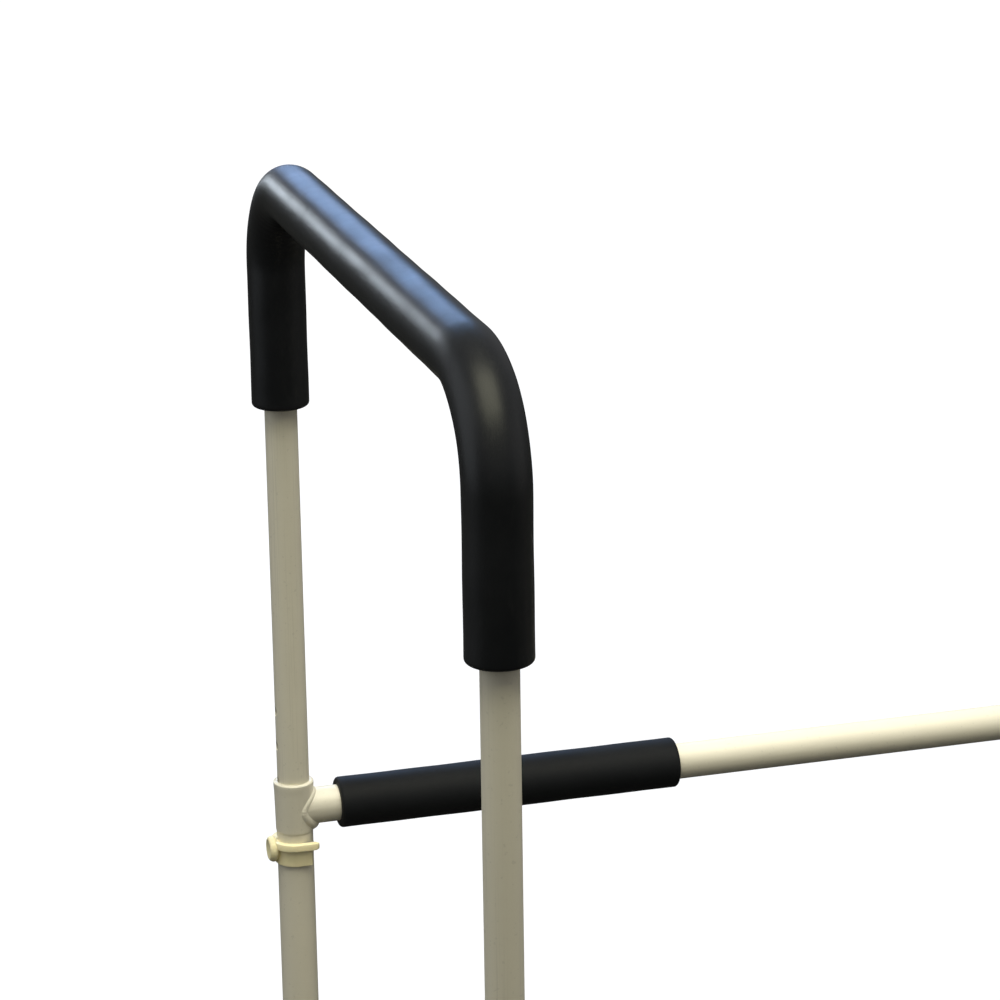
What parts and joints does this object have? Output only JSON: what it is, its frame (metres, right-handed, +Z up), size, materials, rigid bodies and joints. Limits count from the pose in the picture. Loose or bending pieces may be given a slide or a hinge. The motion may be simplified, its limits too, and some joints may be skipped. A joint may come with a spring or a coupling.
{
  "type": "bed assist rail",
  "caption": "Floor-standing bed assist rail: foam-gripped inverted-U handle in telescoping legs, crossbars under the mattress to a far pair of legs, rubber feet.",
  "frame": {"origin": "on the floor, at the middle of the whole part's footprint in X and Y at the stored width", "axes": "+X along the crossbars from the handle side to the far side of the bed, +Y across the handle, +Z up"},
  "size_m": [1.032, 0.5754, 0.8974],
  "materials": {
    "powder_coat": "satin",
    "foam": "satin",
    "clip_plastic": "satin",
    "black_plastic": "satin",
    "foot_rubber": "matte",
    "zinc_steel": "brushed"
  },
  "bodies": {
    "frame": {"front_leg_near": "powder_coat", "front_leg_far": "powder_coat", "front_tee_near": "powder_coat", "front_tee_far": "powder_coat", "crossbar_near": "powder_coat", "crossbar_far": "powder_coat", "crossbar_sleeve_near": "foam", "crossbar_sleeve_far": "foam", "crossbar_bush_near": "black_plastic", "crossbar_bush_far": "black_plastic", "front_stretcher": "powder_coat", "leg_bush_1": "black_plastic", "leg_bush_2": "black_plastic"},
    "handle": {"handle_tube": "powder_coat", "handle_grip": "foam", "handle_plug_near": "black_plastic", "handle_plug_far": "black_plastic"},
    "clip_near_body": {"clip_near": "clip_plastic", "clip_pin_near": "zinc_steel"},
    "clip_far_body": {"clip_far": "clip_plastic", "clip_pin_far": "zinc_steel"},
    "far_frame": {"slide_bar_near": "powder_coat", "slide_bar_far": "powder_coat", "rear_leg_near": "powder_coat", "rear_leg_far": "powder_coat", "rear_tee_near": "powder_coat", "rear_tee_far": "powder_coat", "rear_cap_near": "black_plastic", "rear_cap_far": "black_plastic", "rear_stretcher": "powder_coat", "leg_bush_3": "black_plastic", "leg_bush_4": "black_plastic"},
    "foot_1_body": {"foot_tube_1": "powder_coat", "foot_1": "foot_rubber"},
    "foot_button_1_body": {"foot_button_1": "zinc_steel", "foot_leaf_1": "zinc_steel"},
    "foot_2_body": {"foot_tube_2": "powder_coat", "foot_2": "foot_rubber"},
    "foot_button_2_body": {"foot_button_2": "zinc_steel", "foot_leaf_2": "zinc_steel"},
    "foot_3_body": {"foot_tube_3": "powder_coat", "foot_3": "foot_rubber"},
    "foot_button_3_body": {"foot_button_3": "zinc_steel", "foot_leaf_3": "zinc_steel"},
    "foot_4_body": {"foot_tube_4": "powder_coat", "foot_4": "foot_rubber"},
    "foot_button_4_body": {"foot_button_4": "zinc_steel", "foot_leaf_4": "zinc_steel"},
    "width_button_near_body": {"width_button_near": "zinc_steel", "width_leaf_near": "zinc_steel"},
    "width_button_far_body": {"width_button_far": "zinc_steel", "width_leaf_far": "zinc_steel"}
  },
  "joints": [
    {"name": "handle_height", "type": "slide", "parent": "frame", "child": "handle", "axis": [0, 0, 1], "range_m": [-0.1016, 0.0508]},
    {"name": "clip_near_pull", "type": "slide", "parent": "frame", "child": "clip_near_body", "axis": [-1, 0, 0], "range_m": [0, 0.03]},
    {"name": "clip_far_pull", "type": "slide", "parent": "frame", "child": "clip_far_body", "axis": [-1, 0, 0], "range_m": [0, 0.03]},
    {"name": "bed_width", "type": "slide", "parent": "frame", "child": "far_frame", "axis": [1, 0, 0], "range_m": [-0.2032, 0.1016]},
    {"name": "foot_1_height", "type": "slide", "parent": "frame", "child": "foot_1_body", "axis": [0, 0, -1], "range_m": [-0.0254, 0.0508]},
    {"name": "foot_1_button_press", "type": "slide", "parent": "foot_1_body", "child": "foot_button_1_body", "axis": [1, 0, 0], "range_m": [0, 0.004], "stiffness_N_per_m": 1500, "springref_m": -0.004},
    {"name": "foot_2_height", "type": "slide", "parent": "frame", "child": "foot_2_body", "axis": [0, 0, -1], "range_m": [-0.0254, 0.0508]},
    {"name": "foot_2_button_press", "type": "slide", "parent": "foot_2_body", "child": "foot_button_2_body", "axis": [1, 0, 0], "range_m": [0, 0.004], "stiffness_N_per_m": 1500, "springref_m": -0.004},
    {"name": "foot_3_height", "type": "slide", "parent": "far_frame", "child": "foot_3_body", "axis": [0, 0, -1], "range_m": [-0.0254, 0.0508]},
    {"name": "foot_3_button_press", "type": "slide", "parent": "foot_3_body", "child": "foot_button_3_body", "axis": [-1, 0, 0], "range_m": [0, 0.004], "stiffness_N_per_m": 1500, "springref_m": -0.004},
    {"name": "foot_4_height", "type": "slide", "parent": "far_frame", "child": "foot_4_body", "axis": [0, 0, -1], "range_m": [-0.0254, 0.0508]},
    {"name": "foot_4_button_press", "type": "slide", "parent": "foot_4_body", "child": "foot_button_4_body", "axis": [-1, 0, 0], "range_m": [0, 0.004], "stiffness_N_per_m": 1500, "springref_m": -0.004},
    {"name": "width_button_near_press", "type": "slide", "parent": "far_frame", "child": "width_button_near_body", "axis": [0, 1, 0], "range_m": [0, 0.004], "stiffness_N_per_m": 1500, "springref_m": -0.004},
    {"name": "width_button_far_press", "type": "slide", "parent": "far_frame", "child": "width_button_far_body", "axis": [0, -1, 0], "range_m": [0, 0.004], "stiffness_N_per_m": 1500, "springref_m": -0.004}
  ]
}
